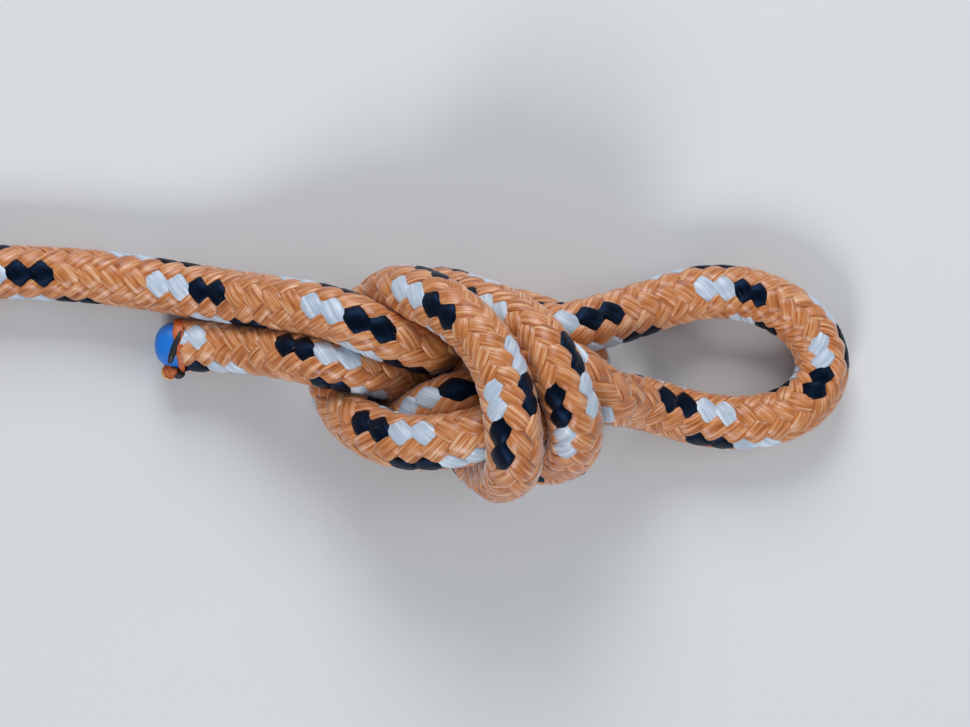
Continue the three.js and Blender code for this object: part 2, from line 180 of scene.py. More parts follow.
class RopeSettings(PropertyGroup):
    """Sizes and colours of the rope."""

    lead: FloatProperty(
        name="Lead", description="Length in which a carrier goes once round the rope",
        default=0.0338, min=0.02, max=0.06, unit="LENGTH")
    carrier_width: FloatProperty(
        name="Carrier width", description="Width of one flat carrier of the braid",
        default=0.0035, min=0.001, max=0.006, unit="LENGTH")
    carrier_thick: FloatProperty(
        name="Carrier thickness", description="Thickness of one carrier of the braid",
        default=0.00094, min=0.0003, max=0.002, unit="LENGTH")
    fuzz: IntProperty(
        name="Loose filaments",
        description="Fine filaments outside the hank; twice as many more lie all along the rope",
        default=600, min=0, max=6000)
    orange: FloatVectorProperty(
        name="Orange", description="Colour of the ground carriers", subtype="COLOR",
        default=(0.73, 0.445, 0.215), min=0, max=1)
    white: FloatVectorProperty(
        name="White", description="Colour of the white tracers", subtype="COLOR",
        default=(0.67, 0.73, 0.8), min=0, max=1)
    black: FloatVectorProperty(
        name="Black", description="Colour of the black tracers", subtype="COLOR",
        default=(0.02, 0.035, 0.06), min=0, max=1)
    core: FloatVectorProperty(
        name="Core seal", description="Colour of the melted core at the cut", subtype="COLOR",
        default=(0.0, 0.44, 0.8), min=0, max=1)
    strap: FloatVectorProperty(
        name="Tie", description="Colour of the strap round the hank", subtype="COLOR",
        default=(0.07, 0.07, 0.09), min=0, max=1)


def linear(colour):
    """Linear RGBA of an sRGB colour, given as three parts from 0 to 1 or as a hex value."""
    if isinstance(colour, str):
        colour = [int(colour[i:i + 2], 16) / 255 for i in (1, 3, 5)]
    c = np.array(colour[:3], float)
    c = np.where(c <= 0.04045, c / 12.92, ((c + 0.055) / 1.055) ** 2.4)
    return (*c, 1.0)


# ---------------------------------------------------------------- the path of the rope


def catmull(stations, per=64):
    """Dense points of the centripetal Catmull-Rom curve through the stations: each span is the
    cubic whose end tangents are the non-uniform ones for knots spaced by the root of distance."""
    p = np.vstack([2 * stations[0] - stations[1], stations, 2 * stations[-1] - stations[-2]])
    p0, p1, p2, p3 = p[:-3], p[1:-2], p[2:-1], p[3:]
    d0, d1, d2 = (np.linalg.norm(b - a, axis=1)[:, None] ** 0.5
                  for a, b in ((p0, p1), (p1, p2), (p2, p3)))
    t1 = ((p1 - p0) / d0 - (p2 - p0) / (d0 + d1) + (p2 - p1) / d1) * d1
    t2 = ((p2 - p1) / d1 - (p3 - p1) / (d1 + d2) + (p3 - p2) / d2) * d1
    t = (np.arange(per) / per)[None, :, None]
    p1, p2, t1, t2 = (a[:, None] for a in (p1, p2, t1, t2))
    c2 = -3 * p1 + 3 * p2 - 2 * t1 - t2
    c3 = 2 * p1 - 2 * p2 + t1 + t2
    dense = p1 + t1 * t + c2 * t ** 2 + c3 * t ** 3
    return np.vstack([dense.reshape(-1, 3), stations[-1:]])


def lengths(p):
    """Distance along a line of points, from 0 at its start."""
    return np.r_[0, np.cumsum(np.linalg.norm(np.diff(p, axis=0), axis=1))]


def spaced(p, step):
    """The same line with its points about one step apart."""
    s = lengths(p)
    at = np.linspace(0, s[-1], int(round(s[-1] / step)) + 1)
    return np.stack([np.interp(at, s, p[:, k]) for k in range(3)], 1)


def smooth(p, passes):
    """Evens out a line of points, in place, by averaging each with its neighbours."""
    for _ in range(passes):
        p[1:-1] = (2 * p[1:-1] + p[2:] + p[:-2]) / 4
    return p


def settled_route():
    """The route with the rope pressed clear of itself: every sample is held near its place, the
    line is drawn straight and stiffened, and samples nearer than CLEAR push each other apart."""
    stations = np.array(STANDING + ENTRY + LOOP + RETURN + TAIL) / ROPE
    home = spaced(catmull(stations), STEP / ROPE)
    count = len(home) - 1
    spacing = lengths(home)[-1] / count
    nearest = [int(np.argmin(((home - s) ** 2).sum(1))) for s in stations]
    hold = np.full((count + 1, 1), OPEN_HOLD)
    for first, last in HIDDEN:
        hold[nearest[first]:nearest[last] + 1] = HIDDEN_HOLD
    first, second = np.triu_indices(count + 1, math.ceil(NEAR / spacing))
    p = home.copy()
    for _ in range(SETTLE_TURNS):
        force = hold * (home - p)
        force[1:-1] += PULL * (p[2:] + p[:-2] - 2 * p[1:-1])
        force[2:-2] -= STIFF * (p[4:] - 4 * p[3:-1] + 6 * p[2:-2] - 4 * p[1:-3] + p[:-4])
        apart = p[first] - p[second]
        d = np.sqrt((apart ** 2).sum(1))
        near = d < CLEAR
        push = (PUSH * (CLEAR - d[near]) / d[near])[:, None] * apart[near]
        np.add.at(force, first[near], push)
        np.add.at(force, second[near], -push)
        force[:, 2] += FLOOR_PUSH * np.maximum(0, 0.5 - p[:, 2])
        force = np.clip(force, -LONGEST_MOVE, LONGEST_MOVE)
        force[:2] = 0
        force[-2:] = 0
        p += force
    smooth(p, SMOOTHING)
    p[:, 2] = np.maximum(p[:, 2], 0.5)
    return p * ROPE


def hank_path():
    """Middle line of the rope in the hank: long ovals with half-round ends, drawn in at the waist.
    At each pass of the right end the rope moves on to the next oval: out, in or down."""
    high = RADIUS + ROPE * (LAYERS - 1)
    turns = [(INNER, high), (OUTER, high), (OUTER, high - ROPE), (INNER, high - ROPE),
             (INNER, RADIUS), (OUTER, RADIUS)]
    points = []
    for k, (radius, z) in enumerate(turns):
        x = np.linspace(END_X if k == 0 else RUN, -RUN, STRAIGHT_POINTS, endpoint=False)
        points.append(np.stack([x, -lane(radius, x), z + 0 * x], 1))
        a = np.linspace(-np.pi / 2, -1.5 * np.pi, BEND_POINTS, endpoint=False)
        points.append(np.stack([radius * np.cos(a) - RUN, radius * np.sin(a), z + 0 * a], 1))
        x = np.linspace(-RUN, RUN, STRAIGHT_POINTS, endpoint=False)
        points.append(np.stack([x, lane(radius, x), z + 0 * x], 1))
        if k == len(turns) - 1:
            break
        a = np.linspace(np.pi / 2, -np.pi / 2, BEND_POINTS, endpoint=False)
        part = 0.5 - 0.5 * np.sin(a)
        part = part * part * (3 - 2 * part)
        r = radius + part * (turns[k + 1][0] - radius)
        points.append(np.stack([RUN + r * np.cos(a), r * np.sin(a),
                                z + part * (turns[k + 1][1] - z)], 1))
    way_out = STANDING[0] - HANK
    points.append(np.array([[RUN, OUTER, RADIUS], [way_out[0] - MEET, OUTER, RADIUS]]))
    p = np.vstack(points)
    tight = 1 / (1 + (p[:, 0] / SQUEEZE_LENGTH) ** 6)
    p[:, 1] *= 1 - SQUEEZE_ACROSS * tight
    p[:, 2] += SQUEEZE_DOWN * tight * (ROPE * LAYERS / 2 - p[:, 2])
    return p + HANK


def lane(radius, x):
    """Distance of an oval's side from the hank's middle line: a cosine dip at the waist."""
    dip = ROPE * (0.5 + 0.5 * np.cos(np.pi * x / WAIST))
    return np.where(np.abs(x) < WAIST, radius - dip, radius)


class Path:
    """The rope's middle line with section frames that turn as little as possible along it.
    Places on it are lengths from the route's start, negative in the hank."""

    def __init__(self):
        route = settled_route()
        hank = smooth(spaced(hank_path(), STEP), 2)
        hank = hank[np.linalg.norm(hank - route[0], axis=1) > 0.7 * STEP]
        self.points = np.vstack([hank, route]) + PLACE
        self.first = len(hank)
        s = lengths(self.points)
        self.s = s - s[self.first]
        t = np.gradient(self.points, axis=0)
        self.t = t / np.linalg.norm(t, axis=1)[:, None]
        n = np.zeros_like(self.t)
        for order in (range(self.first, len(n)), range(self.first, -1, -1)):
            side = np.array([0, 0, 1.0])
            for i in order:
                side = side - side @ self.t[i] * self.t[i]
                side /= np.linalg.norm(side)
                n[i] = side
        self.n = n
        self.b = np.cross(self.t, self.n)
        self.press = self.pressed()

    def between(self, s):
        """Index of the sample before distance s, and the share of the step beyond it."""
        u = np.clip(np.interp(s, self.s, np.arange(len(self.s))), 0, len(self.s) - 1.001)
        i = u.astype(int)
        return i, u - i

    def centre(self, s):
        """Point at distance s: the cubic between two samples with their mean slopes."""
        i, f = self.between(s)
        f = f[..., None]
        p = self.points
        a, b = p[i], p[i + 1]
        before, after = p[np.maximum(i - 1, 0)], p[np.minimum(i + 2, len(p) - 1)]
        da, db = (b - before) / 2, (after - a) / 2
        return (a + da * f + (3 * (b - a) - 2 * da - db) * f ** 2
                + (2 * (a - b) + da + db) * f ** 3)

    def axes(self, s):
        """The two unit directions across the rope at distance s."""
        i, f = self.between(s)
        f = f[..., None]
        mixed = (v[i] * (1 - f) + v[i + 1] * f for v in (self.n, self.b))
        return tuple(v / np.linalg.norm(v, axis=-1, keepdims=True) for v in mixed)

    def pressed(self):
        """How far the rope reaches in WAYS directions at each sample, as a share of its radius:
        half way to any other stretch it is pressed against, less inside a tight bend, and a little
        more in the free directions, so that a pressed rope is flattened and not thinner."""
        p, count = self.points, len(self.points)
        angle = np.arange(WAYS) * 2 * np.pi / WAYS
        way = (self.n[:, None] * np.cos(angle)[None, :, None]
               + self.b[:, None] * np.sin(angle)[None, :, None])
        reach = np.full((count, WAYS), FREE_REACH)
        bend = np.zeros_like(p)
        bend[2:-2] = (p[4:] + p[:-4] - 2 * p[2:-2]) / (2 * STEP) ** 2
        inward = np.maximum((way * bend[:, None]).sum(2), 1e-6)
        reach = np.minimum(reach, BEND_REACH / inward / RADIUS)
        for k in range(math.ceil(NEAR * ROPE / STEP), count):
            apart = p[k:] - p[:-k]
            d = np.linalg.norm(apart, axis=1)
            near = np.flatnonzero(d < NEIGHBOUR)
            if not len(near):
                continue
            unit = apart[near] / d[near, None]
            half = (d[near] / 2 + TOUCH) / RADIUS
            for i, sign in ((near, 1), (near + k, -1)):
                facing = sign * (way[i] * unit[:, None]).sum(2)
                limit = np.where(facing > GRAZING, half[:, None] / np.maximum(facing, GRAZING),
                                 np.inf)
                np.minimum.at(reach, i, limit)
        held = np.abs(p[:, 0] - HANK[0] - PLACE[0]) < TIE_LENGTH
        room = p[held] - HANK - PLACE - [0, 0, ROPE * LAYERS / 2]
        for axis, half in TIE_ROOM:
            space = half - room[:, axis, None] * np.sign(way[held][..., axis])
            limit = space / np.maximum(np.abs(way[held][..., axis]), GRAZING) / RADIUS
            reach[held] = np.minimum(reach[held], limit)
        squeezed = np.minimum(reach, 1).mean(1)
        squeezed = smooth(squeezed, SMOOTHING)
        full = 1 + BULGE * (1 - squeezed)
        reach = np.minimum(reach, full[:, None])
        kernel = (np.roll(reach, 1, 1) + 2 * reach + np.roll(reach, -1, 1)) / 4
        return smooth(kernel, 1)

    def surface(self, s, theta, r):
        """Point at distance s, angle theta and radius r of the round rope, moved in or out by how
        the rope is pressed there."""
        i, f = self.between(s)
        v = (theta / (2 * np.pi) * WAYS) % WAYS
        j = v.astype(int) % WAYS
        g = v - np.floor(v)
        table, k = self.press, (j + 1) % WAYS
        share = ((table[i, j] * (1 - g) + table[i, k] * g) * (1 - f)
                 + (table[i + 1, j] * (1 - g) + table[i + 1, k] * g) * f)
        n, b = self.axes(s)
        out = n * np.cos(theta)[..., None] + b * np.sin(theta)[..., None]
        return self.centre(s) + out * (r * share)[..., None]


path = None


def braid(s):
    """Turn of the braid in radians, and evened-out distance along it, at distance s: both are
    read from BRAID and averaged."""
    shifts = np.linspace(-BLEND, BLEND, 5)
    turn, slip = (sum(np.interp(s + d, BRAID[:, 0], BRAID[:, k]) for d in shifts) / len(shifts)
                  for k in (1, 2))
    return np.radians(turn), s - slip


# ---------------------------------------------------------------- meshes and materials


def mesh_object(name, points, faces, material, uv=None):
    """An object of quads or triangles, smooth shaded, with an optional UV per corner point."""
    mesh = bpy.data.meshes.new(name)
    faces = np.asarray(faces, np.int32)
    size = faces.shape[1]
    mesh.vertices.add(len(points))
    mesh.vertices.foreach_set("co", np.ascontiguousarray(points, np.float32).ravel())
    mesh.loops.add(faces.size)
    mesh.loops.foreach_set("vertex_index", faces.ravel())
    mesh.polygons.add(len(faces))
    mesh.polygons.foreach_set("loop_start", np.arange(0, faces.size, size, dtype=np.int32))
    if uv is not None:
        layer = mesh.uv_layers.new(name="fibre")
        layer.data.foreach_set("uv", np.ascontiguousarray(uv[faces.ravel()], np.float32).ravel())
    mesh.update()
    mesh.validate()
    mesh.shade_smooth()
    mesh.materials.append(material)
    obj = bpy.data.objects.new(name, mesh)
    bpy.context.scene.collection.objects.link(obj)
    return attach(obj, "root")


def grid_faces(rows, columns, closed):
    """Quads of a grid of points, joined round its columns if it is closed."""
    r = np.arange(rows - 1)[:, None] * columns
    c = np.arange(columns if closed else columns - 1)[None, :]
    n = (c + 1) % columns
    return np.stack([r + c, r + n, r + columns + n, r + columns + c], -1).reshape(-1, 4)


def ring_faces(rows, columns):
    """Quads of a grid of points that is joined both ways, as on a ring."""
    i, j = np.arange(rows)[:, None], np.arange(columns)[None, :]
    i2, j2 = (i + 1) % rows, (j + 1) % columns
    return np.stack([i * columns + j, i * columns + j2, i2 * columns + j2, i2 * columns + j],
                    -1).reshape(-1, 4)


def tube_faces(rows, columns):
    """Quads of a closed tube, and its two flat ends as quads that meet in a line."""
    faces = [grid_faces(rows, columns, True)]
    half = np.arange(columns // 2 - 1)
    cap = np.stack([half, columns - 1 - half, columns - 2 - half, half + 1], 1)
    faces.append(cap)
    faces.append(cap[:, ::-1] + (rows - 1) * columns)
    return np.vstack(faces)


def tube(points, radii, sides):
    """Closed round tube along a line of points: each ring is a circle across the line."""
    t = np.gradient(points, axis=0)
    t /= np.linalg.norm(t, axis=1)[:, None]
    n = np.cross(t, np.array([0.31, 0.17, 0.93]))
    n /= np.linalg.norm(n, axis=1)[:, None]
    b = np.cross(t, n)
    a = np.arange(sides) * 2 * np.pi / sides
    radii = np.broadcast_to(radii, len(points))[:, None, None]
    ring = n[:, None] * np.cos(a)[None, :, None] + b[:, None] * np.sin(a)[None, :, None]
    return (points[:, None] + ring * radii).reshape(-1, 3), tube_faces(len(points), sides)


def material(name):
    """A new material with its node tree and its Principled shader."""
    mat = bpy.data.materials.new(name)
    mat.use_nodes = True
    tree = mat.node_tree
    tree.nodes.clear()
    out = add(tree, "ShaderNodeOutputMaterial")
    shader = add(tree, "ShaderNodeBsdfPrincipled")
    tree.links.new(shader.outputs[0], out.inputs["Surface"])
    return mat, tree, shader


def add(tree, kind, links=None, **settings):
    """Adds a node with its settings; links are {input: value or output socket}."""
    node = tree.nodes.new(kind)
    for key, value in settings.items():
        setattr(node, key, value)
    for key, value in (links or {}).items():
        socket = node.inputs[key]
        if isinstance(value, bpy.types.NodeSocket):
            tree.links.new(value, socket)
        else:
            socket.default_value = value
    return node


def yarn(name, colour, deep, pale, rough, sheen, gloss="#FFFFFF"):
    """Flat carrier of untwisted high-tenacity polyamide filaments, heat set: satin, with fine
    lines along each float. Its colour wanders at random, in fine streaks and patches, between a
    deep and a pale tone: partly the yarn's own uneven tone, partly painted shade at the deep end
    and painted highlight at the pale end, spread by noise and not by the carrier's shape."""
    mat, tree, shader = material(name)
    uv = add(tree, "ShaderNodeUVMap", uv_map="fibre").outputs["UV"]
    split = add(tree, "ShaderNodeSeparateXYZ", {"Vector": uv})
    # The UV is in millimetres: X across the carrier, Y along it. Filament bundles are about
    # 0.17 mm apart and wander over some 6 mm.
    across = add(tree, "ShaderNodeMath", {0: split.outputs["X"], 1: 6.0}, operation="MULTIPLY")
    along = add(tree, "ShaderNodeMath", {0: split.outputs["Y"], 1: 0.16}, operation="MULTIPLY")
    lines = add(tree, "ShaderNodeCombineXYZ", {"X": across.outputs[0], "Y": along.outputs[0]})
    fine = add(tree, "ShaderNodeTexNoise", {
        "Vector": lines.outputs[0], "Scale": 1.0, "Detail": 3.0, "Roughness": 0.6})
    wide = add(tree, "ShaderNodeMath", {0: split.outputs["X"], 1: 1.5}, operation="MULTIPLY")
    slow = add(tree, "ShaderNodeMath", {0: split.outputs["Y"], 1: 0.22}, operation="MULTIPLY")
    patches = add(tree, "ShaderNodeCombineXYZ", {"X": wide.outputs[0], "Y": slow.outputs[0]})
    coarse = add(tree, "ShaderNodeTexNoise", {
        "Vector": patches.outputs[0], "Scale": 1.0, "Detail": 2.0})
    both = add(tree, "ShaderNodeMath", {0: fine.outputs["Fac"], 1: coarse.outputs["Fac"]},
               operation="ADD")
    # The ramp runs from the deep tone through the yarn's colour to the pale tone: the deep end is
    # a painted shade tone and the pale end a painted highlight tone, mixed in at random with the
    # yarn's own uneven tone.
    ramp = add(tree, "ShaderNodeValToRGB", {
        "Fac": add(tree, "ShaderNodeMath", {0: both.outputs[0], 1: 0.5},
                   operation="MULTIPLY").outputs[0]})
    ramp.color_ramp.elements[0].position = 0.36
    ramp.color_ramp.elements[0].color = linear(deep)
    ramp.color_ramp.elements[1].position = 0.66
    ramp.color_ramp.elements[1].color = linear(pale)
    middle = ramp.color_ramp.elements.new(0.5)
    middle.color = linear(colour)
    bump = add(tree, "ShaderNodeBump", {
        "Height": fine.outputs["Fac"], "Strength": 0.55, "Distance": 0.00012})
    tangent = add(tree, "ShaderNodeTangent", direction_type="UV_MAP", uv_map="fibre")
    links = shader.inputs
    tree.links.new(ramp.outputs["Color"], links["Base Color"])
    tree.links.new(bump.outputs["Normal"], links["Normal"])
    tree.links.new(tangent.outputs[0], links["Tangent"])
    links["Roughness"].default_value = rough
    links["IOR"].default_value = 1.53
    links["Anisotropic"].default_value = 0.6
    links["Sheen Weight"].default_value = sheen
    links["Sheen Roughness"].default_value = 0.4
    links["Sheen Tint"].default_value = linear(gloss)
    links["Specular Tint"].default_value = linear(gloss)
    return mat


def melted(name, colour, rough, mottling):
    """Polyamide melted by the cutting blade and set again: glossy, slightly uneven."""
    mat, tree, shader = material(name)
    place = add(tree, "ShaderNodeTexCoord").outputs["Object"]
    noise = add(tree, "ShaderNodeTexNoise", {"Vector": place, "Scale": 900.0, "Detail": 3.0})
    mix = add(tree, "ShaderNodeMixRGB", {
        "Fac": noise.outputs["Fac"], "Color1": linear(colour), "Color2": linear(mottling)})
    bump = add(tree, "ShaderNodeBump", {
        "Height": noise.outputs["Fac"], "Strength": 0.35, "Distance": 0.0002})
    tree.links.new(mix.outputs[0], shader.inputs["Base Color"])
    tree.links.new(bump.outputs[0], shader.inputs["Normal"])
    shader.inputs["Roughness"].default_value = rough
    shader.inputs["IOR"].default_value = 1.53
    return mat


def webbing(name, colour):
    """Polyester strap woven flat on a narrow loom: matt, with fine ribs across the band, crossed
    by the warp's threads."""
    mat, tree, shader = material(name)
    uv = add(tree, "ShaderNodeUVMap", uv_map="fibre").outputs["UV"]
    # Warp threads are 1.1 mm apart along the band. The weft ribs across it are 0.8 apart in the
    # UV, which comes to 0.9 mm on the outside of the band.
    split = add(tree, "ShaderNodeSeparateXYZ", {"Vector": uv})
    waves = []
    for axis, pitch in (("X", 1.1), ("Y", 0.8)):
        turn = add(tree, "ShaderNodeMath", {0: split.outputs[axis], 1: 2 * math.pi / pitch},
                   operation="MULTIPLY")
        waves.append(add(tree, "ShaderNodeMath", {0: turn.outputs[0]}, operation="SINE"))
    weave = add(tree, "ShaderNodeMath", {0: waves[0].outputs[0], 1: waves[1].outputs[0]},
                operation="MULTIPLY")
    bump = add(tree, "ShaderNodeBump", {
        "Height": weave.outputs[0], "Strength": 0.8, "Distance": 0.00015})
    # The band is mixed towards a darker black where the weave's bump is low: painted shade in the
    # hollows of the weave.
    shade = add(tree, "ShaderNodeMath", {0: weave.outputs[0], 1: 0.5, 2: 0.5},
                operation="MULTIPLY_ADD")
    mix = add(tree, "ShaderNodeMixRGB", {
        "Fac": shade.outputs[0], "Color1": linear("#101014"), "Color2": linear(colour)})
    tree.links.new(mix.outputs[0], shader.inputs["Base Color"])
    tree.links.new(bump.outputs[0], shader.inputs["Normal"])
    shader.inputs["Roughness"].default_value = 0.7
    shader.inputs["Sheen Weight"].default_value = 0.25
    return mat


def plain(name, colour, rough, shine=0.5):
    """Even material of one colour."""
    mat, _, shader = material(name)
    shader.inputs["Base Color"].default_value = linear(colour)
    shader.inputs["Roughness"].default_value = rough
    shader.inputs["Specular IOR Level"].default_value = shine
    return mat


def settings():
    """The rope's sizes and colours, as set in the sidebar."""
    return bpy.context.scene.rope_settings


def cut_end():
    """Length along the path at which the tail's sheath stops: the blade's heat has drawn it
    2.8 mm back from the core."""
    return path.s[-1] - 0.0028


# ---------------------------------------------------------------- pieces


def carrier(kind, number, stops, sides):
    """Surface of one braided carrier: it winds round the rope at one turn a lead, and its height
    is a wave of two crossings over and two under. Its section is a flat rounded bar laid on the
    rope's round surface, square to the way the carrier runs."""
    st = settings()
    lead, thick = st.lead, st.carrier_thick
    turn = 1 if kind == "right" else -1
    middle = RADIUS - SUNK * thick
    roll, even = braid(stops)
    wind = 2 * np.pi * number / EACH_WAY + turn * 2 * np.pi * even / lead + roll
    slope = middle * np.gradient(wind, stops)  # rise round the rope for each length along it
    along = 1 / np.sqrt(1 + slope ** 2)
    width = st.carrier_width * along * math.hypot(1, 2 * math.pi * middle / lead)
    beat = 16 * even / lead
    beat = beat + 2 * number if turn > 0 else 2 * number - beat - 2
    wave = np.pi / 2 * (beat - 0.5)
    height = middle + 0.5 * thick * (CREST * np.cos(wave) - FLATTEN * np.cos(3 * wave))
    width = width * (WIDTH_MEAN + WIDTH_WAVE * np.cos(wave))
    angle = np.arange(sides) * 2 * np.pi / sides + np.pi / sides
    c, d = np.cos(angle), np.sin(angle)
    across = width[:, None] / 2 * (np.sign(c) * np.abs(c) ** SQUARE_ACROSS)[None, :]
    up = thick / 2 * np.sign(d) * np.abs(d) ** SQUARE_UP
    place = stops[:, None] - across * (slope * along)[:, None]
    theta = wind[:, None] + across * along[:, None] / middle
    place = np.clip(place, path.s[0], cut_end())
    points = path.surface(place, theta, height[:, None] + up[None, :])
    shift = 0 if turn > 0 else UV_OTHER_WAY
    uv = np.stack(np.broadcast_arrays(across * 1000 + UV_STEP * number + shift,
                                      stops[:, None] * 1000 + 0 * across), -1)
    return points.reshape(-1, 3), tube_faces(len(stops), sides), uv.reshape(-1, 2)


class ROPE_OT_sheath(Operator):
    """Braids the sheath: sixteen carriers over two and under two, with two white and two black."""

    bl_idname = "rope.sheath"
    bl_label = "Braided sheath"

    def execute(self, context):
        st = settings()
        # The two hex tones after each yarn's colour are its deep and pale ends: painted shade and
        # painted highlight tones, which the noise spreads at random.
        orange = yarn("orange polyamide carrier", st.orange, "#84400F", "#E0B792", 0.33, 0.5,
                      "#E8EEFA")
        white = yarn("white polyamide carrier", st.white, "#9AA7B8", "#DCE6F0", 0.42, 0.25)
        black = yarn("black polyamide carrier", st.black, "#010204", "#0E1826", 0.42, 0.1,
                     "#3E68A8")
        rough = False
        coarse = np.arange(path.s[0], FINE_FROM, 0.0028 if rough else 0.0014)
        fine = np.arange(FINE_FROM, cut_end(), 0.0012 if rough else 0.0006)
        stops = np.r_[coarse, fine, cut_end()]
        made = []
        for kind in ("right", "left"):
            for number in range(EACH_WAY):
                look = orange
                if kind == "right" and number < 4:
                    look = black if number < 2 else white
                points, faces, uv = carrier(kind, number, stops, 8 if rough else 12)
                made.append(mesh_object(f"carrier_{kind}_{number}", points, faces, look, uv))
        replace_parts(made[0], "standing_sheath", "knot_entry_sheath", "loop_sheath",
                    "knot_return_sheath", "tail_sheath", "hank")
        return {"FINISHED"}


class ROPE_OT_core(Operator):
    """Lays the core, a bundle of twisted yarns inside the sheath."""

    bl_idname = "rope.core"
    bl_label = "Core"

    def execute(self, context):
        look = plain("white polyamide core yarn", "#E6E8EA", 0.7)
        s = np.arange(path.s[0] + 0.0006, cut_end() - 0.0003, STEP)
        sides = 12
        theta = np.arange(sides)[None, :] * 2 * np.pi / sides + 0 * s[:, None]
        points = path.surface(np.broadcast_to(s[:, None], theta.shape), theta,
                              0 * theta + RADIUS - CORE_DEPTH)
        core = mesh_object("core", points.reshape(-1, 3), tube_faces(len(s), sides), look)
        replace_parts(core, "standing_core", "knot_entry_core", "loop_core", "knot_return_core",
                    "tail_core")
        return {"FINISHED"}


def end_frame(at_start):
    """Centre and outward, level and upward directions of one end of the rope."""
    k = 0 if at_start else len(path.s) - 1
    out = -path.t[k] if at_start else path.t[k]
    side = np.cross(out, np.array([0, 0, 1.0]))
    side /= np.linalg.norm(side)
    return path.points[k], out, side, np.cross(side, out)


def about(end, r, a, h):
    """Points at radius r, angle a (from level, through up) and height h beyond an end."""
    centre, out, side, up = end
    return (centre + (r * np.cos(a))[..., None] * side + (r * np.sin(a))[..., None] * up
            + (h + 0 * a)[..., None] * out)


def cap(name, end, look, r, h, wave=0.02):
    """Closed body turned about the rope's line from an outline of radii and heights, its rim
    wandering by a small sum of sines."""
    sides = 64
    a = (np.arange(sides) * 2 * np.pi / sides)[None, :]
    rim = 1 + wave * (np.sin(3 * a + 0.7) + 0.7 * np.sin(7 * a))
    points = about(end, r[:, None] * rim, a + 0 * r[:, None], h[:, None] + 0 * a)
    return mesh_object(name, points.reshape(-1, 3), tube_faces(len(r), sides), look)


def blob(name, end, look, r, a, h, size, bend):
    """Closed lump of melted yarn: a ball stretched to three sizes (across, round and along the
    rope) whose surface is moved by a low product of sines."""
    rows, columns = 20, 28
    v = np.linspace(0.02, np.pi - 0.02, rows)[:, None]
    u = (np.arange(columns) * 2 * np.pi / columns)[None, :]
    lump = 1 + 0.12 * np.sin(3 * u + bend) * np.sin(2 * v) + 0.08 * np.sin(5 * v + bend)
    x, y, z = np.sin(v) * np.cos(u) * lump, np.sin(v) * np.sin(u) * lump, np.cos(v) * lump
    points = about(end, r + size[0] * x, a + size[1] / r * z, h + size[2] * y + 0 * u)
    return mesh_object(name, points.reshape(-1, 3), tube_faces(rows, columns), look)


class ROPE_OT_tail_end(Operator):
    """Seals the cut tail: the blue melted core, the rim of the sheath and its loose yarns."""

    bl_idname = "rope.tail_end"
    bl_label = "Cut end"

    def execute(self, context):
        st = settings()
        end = end_frame(False)
        seal = melted("melted blue core polyamide", st.core, 0.42, "#0068CC")
        q = np.linspace(0, np.pi / 2 - 0.02, 16)
        r = np.r_[3.3, 4.1, 4.18, 4.2 * np.cos(q) ** 0.8] * MM
        h = np.r_[-3.3, -3.25, -2.2, -1.4 + 4.0 * np.sin(q)] * MM
        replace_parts(cap("tail_core_seal_dressed", end, seal, r, h), "tail_core_seal")
        # The rim: a flat rounded ring where the sheath stops, worked out in millimetres. It is
        # 2.3 mm long on the side where the blade went in and 1.2 mm elsewhere, with an uneven
        # edge.
        orange = melted("melted orange sheath polyamide", "#C9601F", 0.5, "#8C3C0E")
        rows, columns = 192, 16
        a = (np.arange(rows) * 2 * np.pi / rows)[:, None]
        t = (np.arange(columns) * 2 * np.pi / columns)[None, :]
        c, d = np.cos(t), np.sin(t)
        thick = 0.36 + 0.07 * np.cos(16 * a + 0.9 * np.sin(3 * a)) * (c > 0)
        long = 0.6 + 0.6 / (1 + np.exp(5 * (1 - np.cos(a - 0.5)) - 2))
        edge = 0.12 * np.sin(3 * a + 2.2) + 0.07 * np.sin(8 * a) + 0.04 * np.sin(19 * a)
        r = 4.6 + thick * np.sign(c) * np.abs(c) ** 0.7
        h = long - 3.3 + (long + edge) * np.sign(d) * np.abs(d) ** 0.8
        points = about(end, r * MM, a + 0 * t, h * MM)
        rim = mesh_object("tail_sheath_seal_dressed", points.reshape(-1, 3),
                          ring_faces(rows, columns), orange)
        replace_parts(rim, "tail_sheath_seal")
        # A black tracer melted slantwise over the core, and the lumps and curl at its lower end.
        black = melted("melted black sheath polyamide", "#04070D", 0.5, "#0A0E15")
        part = np.linspace(0, 1, 40)
        a = np.radians(58 + 74 * part)
        line = about(end, 0.0047 + 0.0001 * np.sin(9 * part), a, -0.0028 + 0.0022 * part)
        taper = np.sin(np.pi * (0.1 + 0.8 * part))
        points, faces = tube(line, 0.0008 * (0.6 + 0.4 * part) * taper ** 0.6, 10)
        mesh_object("tail_black_crescent", points, faces, black)
        blob("tail_black_lump", end, black, 0.0053, math.radians(178), -0.0018,
             (0.0009, 0.0010, 0.0011), 0.4)
        amber = melted("melted orange curl", "#CF8A4A", 0.3, "#E2B47C")
        blob("tail_orange_lump", end, orange, 0.0046, math.radians(176), -0.0004,
             (0.0015, 0.0016, 0.0015), 2.0)
        bend = -0.3 + 2.2 * part
        line = about(end, 0.0047 + 0.0016 * np.sin(bend), np.radians(174 + 5 * part),
                     0.0015 * np.cos(bend) - 0.0003)
        points, faces = tube(line, 0.0003 * taper, 10)
        mesh_object("tail_amber_curl", points, faces, amber)
        return {"FINISHED"}


